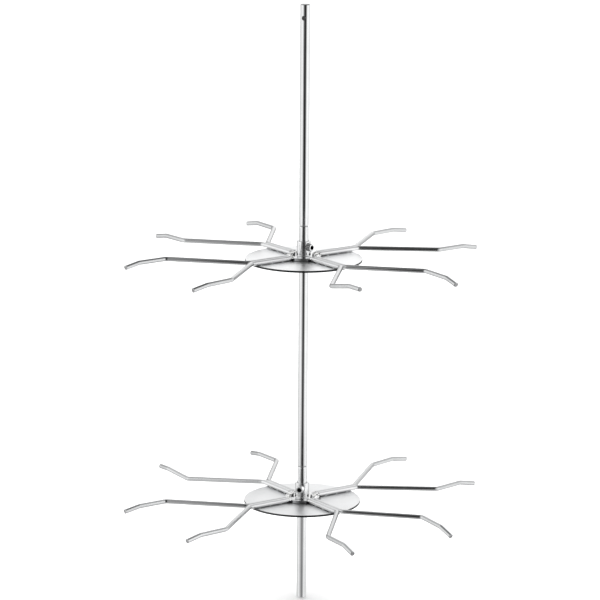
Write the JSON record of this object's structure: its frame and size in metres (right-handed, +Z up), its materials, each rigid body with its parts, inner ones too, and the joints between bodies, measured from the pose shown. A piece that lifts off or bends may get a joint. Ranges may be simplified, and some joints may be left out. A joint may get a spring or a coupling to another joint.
{
  "type": "rotating display rack",
  "caption": "Upright polished shaft with round plates at two heights, each with bent wire hook arms in side-by-side pairs, for hanging goods in a turning display case.",
  "frame": {"origin": "centre of the flat face at the shaft's foot", "axes": "+Z up along the shaft, +X to the right and -Y towards a viewer in front"},
  "size_m": [0.3593, 0.36, 0.614],
  "materials": {
    "shaft": "polished, with fine drawing lines along the rod",
    "stud": "plain machined steel, hidden inside the shaft",
    "plate": "satin sheet with a soft reflection and a darker sheared rim",
    "hub": "turned and plated, bright",
    "screw": "plain steel with a dark hexagon socket",
    "wire": "plated wire, bright, with faint drawing lines"
  },
  "bodies": {
    "shaft": {"shaft_lower": "shaft", "shaft_middle": "shaft", "shaft_upper": "shaft", "lower_joint_stud": "stud", "upper_joint_stud": "stud"},
    "upper_hub": {"upper_hub": "hub"},
    "upper_screw": {"upper_set_screw": "screw"},
    "upper_tier": {"upper_plate": "plate", "upper_arm_1": "wire", "upper_arm_2": "wire", "upper_arm_3": "wire", "upper_arm_4": "wire", "upper_arm_5": "wire", "upper_arm_6": "wire", "upper_arm_7": "wire", "upper_arm_8": "wire"},
    "lower_hub": {"lower_hub": "hub"},
    "lower_screw": {"lower_set_screw": "screw"},
    "lower_tier": {"lower_plate": "plate", "lower_arm_1": "wire", "lower_arm_2": "wire", "lower_arm_3": "wire", "lower_arm_4": "wire", "lower_arm_5": "wire", "lower_arm_6": "wire", "lower_arm_7": "wire", "lower_arm_8": "wire"}
  },
  "joints": [
    {"name": "upper_height", "type": "slide", "parent": "shaft", "child": "upper_hub", "axis": [0, 0, 1], "range_m": [-0.1, 0.21]},
    {"name": "upper_turn", "type": "hinge", "parent": "upper_hub", "child": "upper_tier", "pos_m": [0, 0, 0.3565], "axis": [0, 0, 1], "continuous": true},
    {"name": "upper_screw_travel", "type": "slide", "parent": "upper_hub", "child": "upper_screw", "axis": [0.7314, -0.682, 0], "range_m": [0, 0.002]},
    {"name": "lower_height", "type": "slide", "parent": "shaft", "child": "lower_hub", "axis": [0, 0, 1], "range_m": [-0.075, 0.1]},
    {"name": "lower_turn", "type": "hinge", "parent": "lower_hub", "child": "lower_tier", "pos_m": [0, 0, 0.1045], "axis": [0, 0, 1], "continuous": true},
    {"name": "lower_screw_travel", "type": "slide", "parent": "lower_hub", "child": "lower_screw", "axis": [-0.2588, -0.9659, 0], "range_m": [0, 0.002]}
  ]
}
